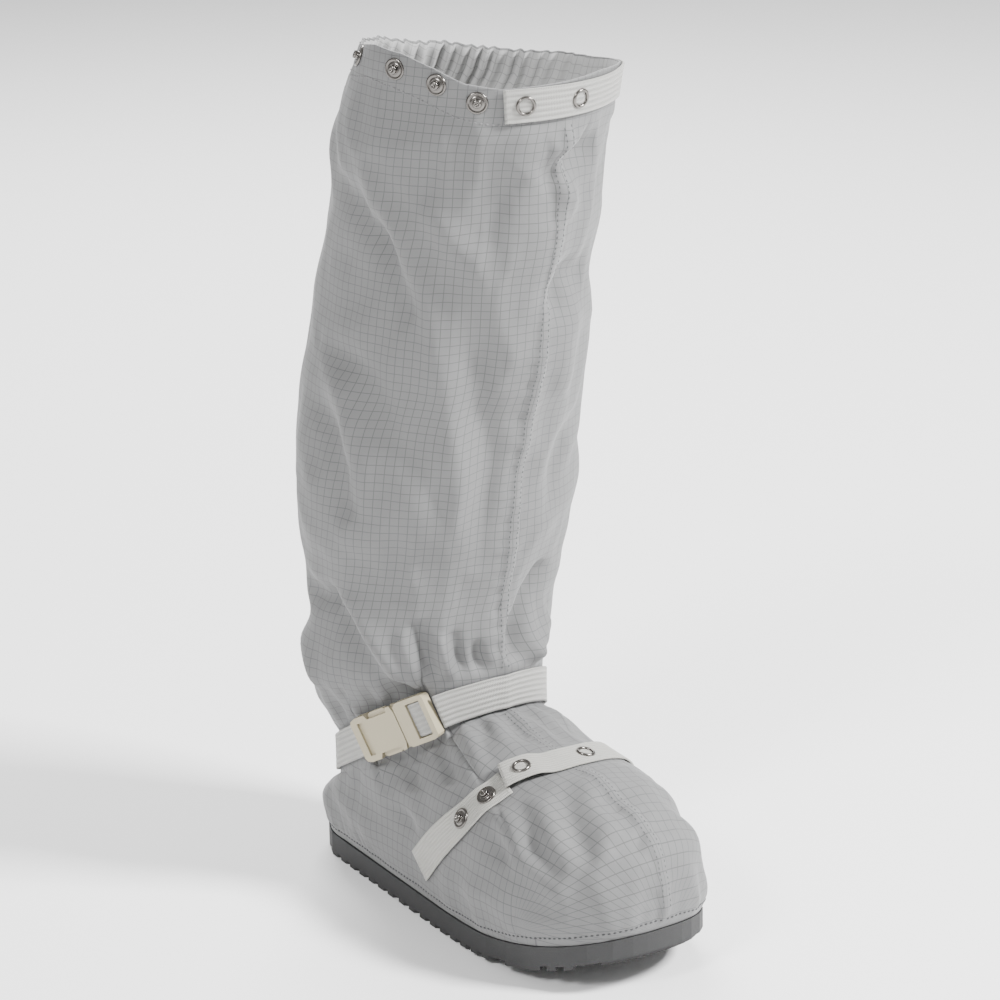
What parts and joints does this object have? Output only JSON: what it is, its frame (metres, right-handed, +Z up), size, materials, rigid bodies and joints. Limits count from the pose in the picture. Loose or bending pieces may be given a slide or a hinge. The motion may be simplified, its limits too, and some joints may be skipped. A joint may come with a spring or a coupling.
{
  "type": "cleanroom boot",
  "caption": "Knee-high fabric boot with an open collar, a buckled ankle strap, snap tapes and a flat ribbed rubber sole with a slightly raised toe.",
  "frame": {"origin": "middle of the sole's length on the floor, in the plane of the front seam", "axes": "+Z up, toe towards -Y, heel towards +Y, the wearer's right (outer side) towards -X"},
  "size_m": [0.16, 0.2924, 0.4956],
  "materials": {
    "sole_rubber": "matt, finely grained",
    "insole_board": "matt",
    "upper_fabric": "matt woven cloth with a fine dark grid",
    "webbing": "ribbed woven tape",
    "buckle_plastic": "satin moulded",
    "snap_metal": "nickel plated"
  },
  "bodies": {
    "root": {"outsole": "sole_rubber", "insole": "insole_board", "upper": "upper_fabric", "ankle_strap": "webbing", "buckle_socket": "buckle_plastic", "buckle_plug": "buckle_plastic", "instep_stud_tape": "webbing", "instep_ring_tape": "webbing", "collar_strap": "webbing", "instep_stud_1": "snap_metal", "instep_stud_2": "snap_metal", "collar_stud_1": "snap_metal", "collar_stud_2": "snap_metal", "collar_stud_3": "snap_metal", "collar_stud_4": "snap_metal", "instep_ring_1": "snap_metal", "instep_ring_2": "snap_metal", "collar_ring_1": "snap_metal", "collar_ring_2": "snap_metal"}
  },
  "joints": []
}
